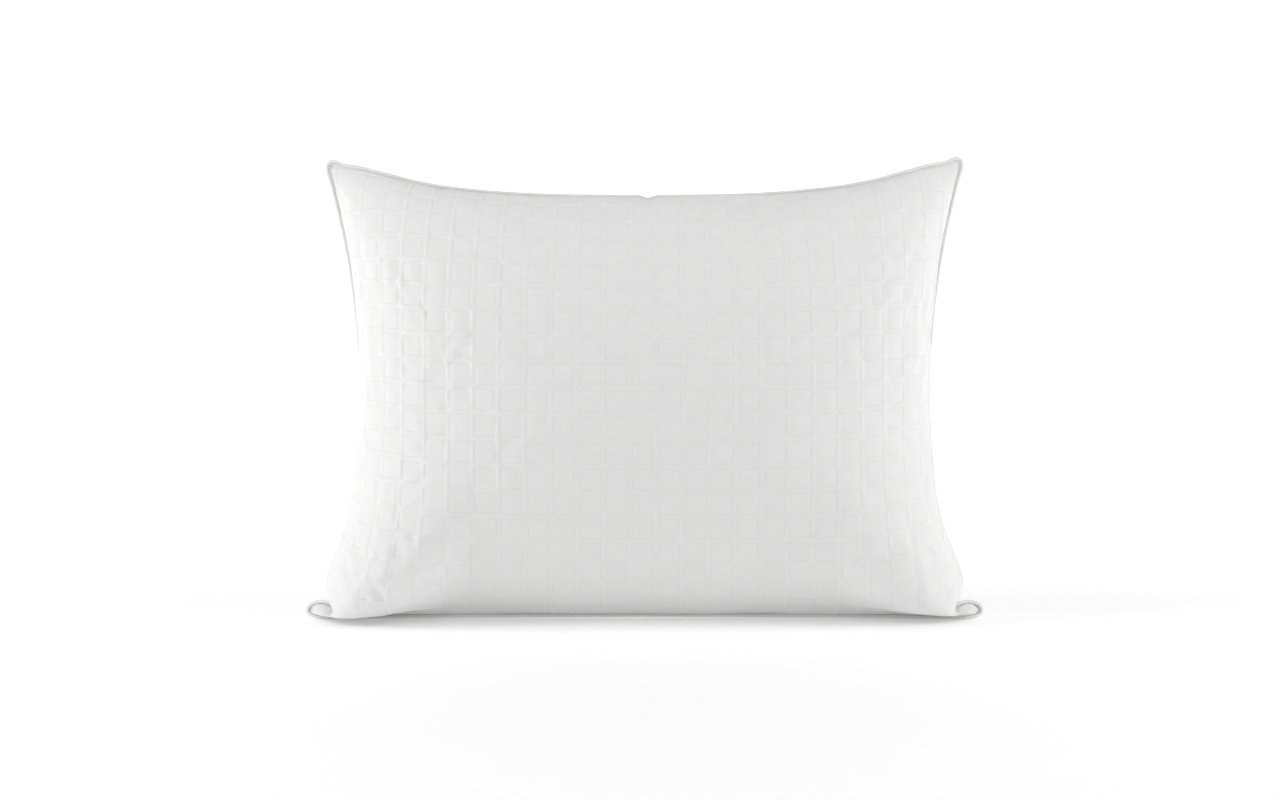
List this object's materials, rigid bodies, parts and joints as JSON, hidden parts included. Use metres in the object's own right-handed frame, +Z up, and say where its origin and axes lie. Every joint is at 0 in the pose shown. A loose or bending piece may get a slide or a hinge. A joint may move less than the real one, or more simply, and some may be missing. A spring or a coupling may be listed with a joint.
{
  "type": "bed pillow",
  "caption": "Filled bed pillow in white windowpane-ribbed cotton with a corded piping edge, standing on one long edge.",
  "frame": {"origin": "on the floor, under the middle of the standing pillow", "axes": "+Z up, +X along the long edges, front panel faces -Y, seam in the XZ plane"},
  "size_m": [0.6876, 0.2, 0.4706],
  "materials": {
    "cover_cotton": "matt woven cotton with raised windowpane ribs",
    "piping_cotton": "matt plain-weave bias strip",
    "cord_cotton": "soft unbleached cotton cord",
    "fibre": "loose polyester fibre",
    "thread": "polyester sewing thread",
    "label_satin": "blank woven satin tape"
  },
  "bodies": {
    "root": {"front_panel": "cover_cotton", "back_panel": "cover_cotton", "piping_cover": "piping_cotton", "piping_cord": "cord_cotton", "fibre_fill": "fibre", "seam_thread": "thread", "closing_stitches": "thread", "care_label": "label_satin"}
  },
  "joints": []
}
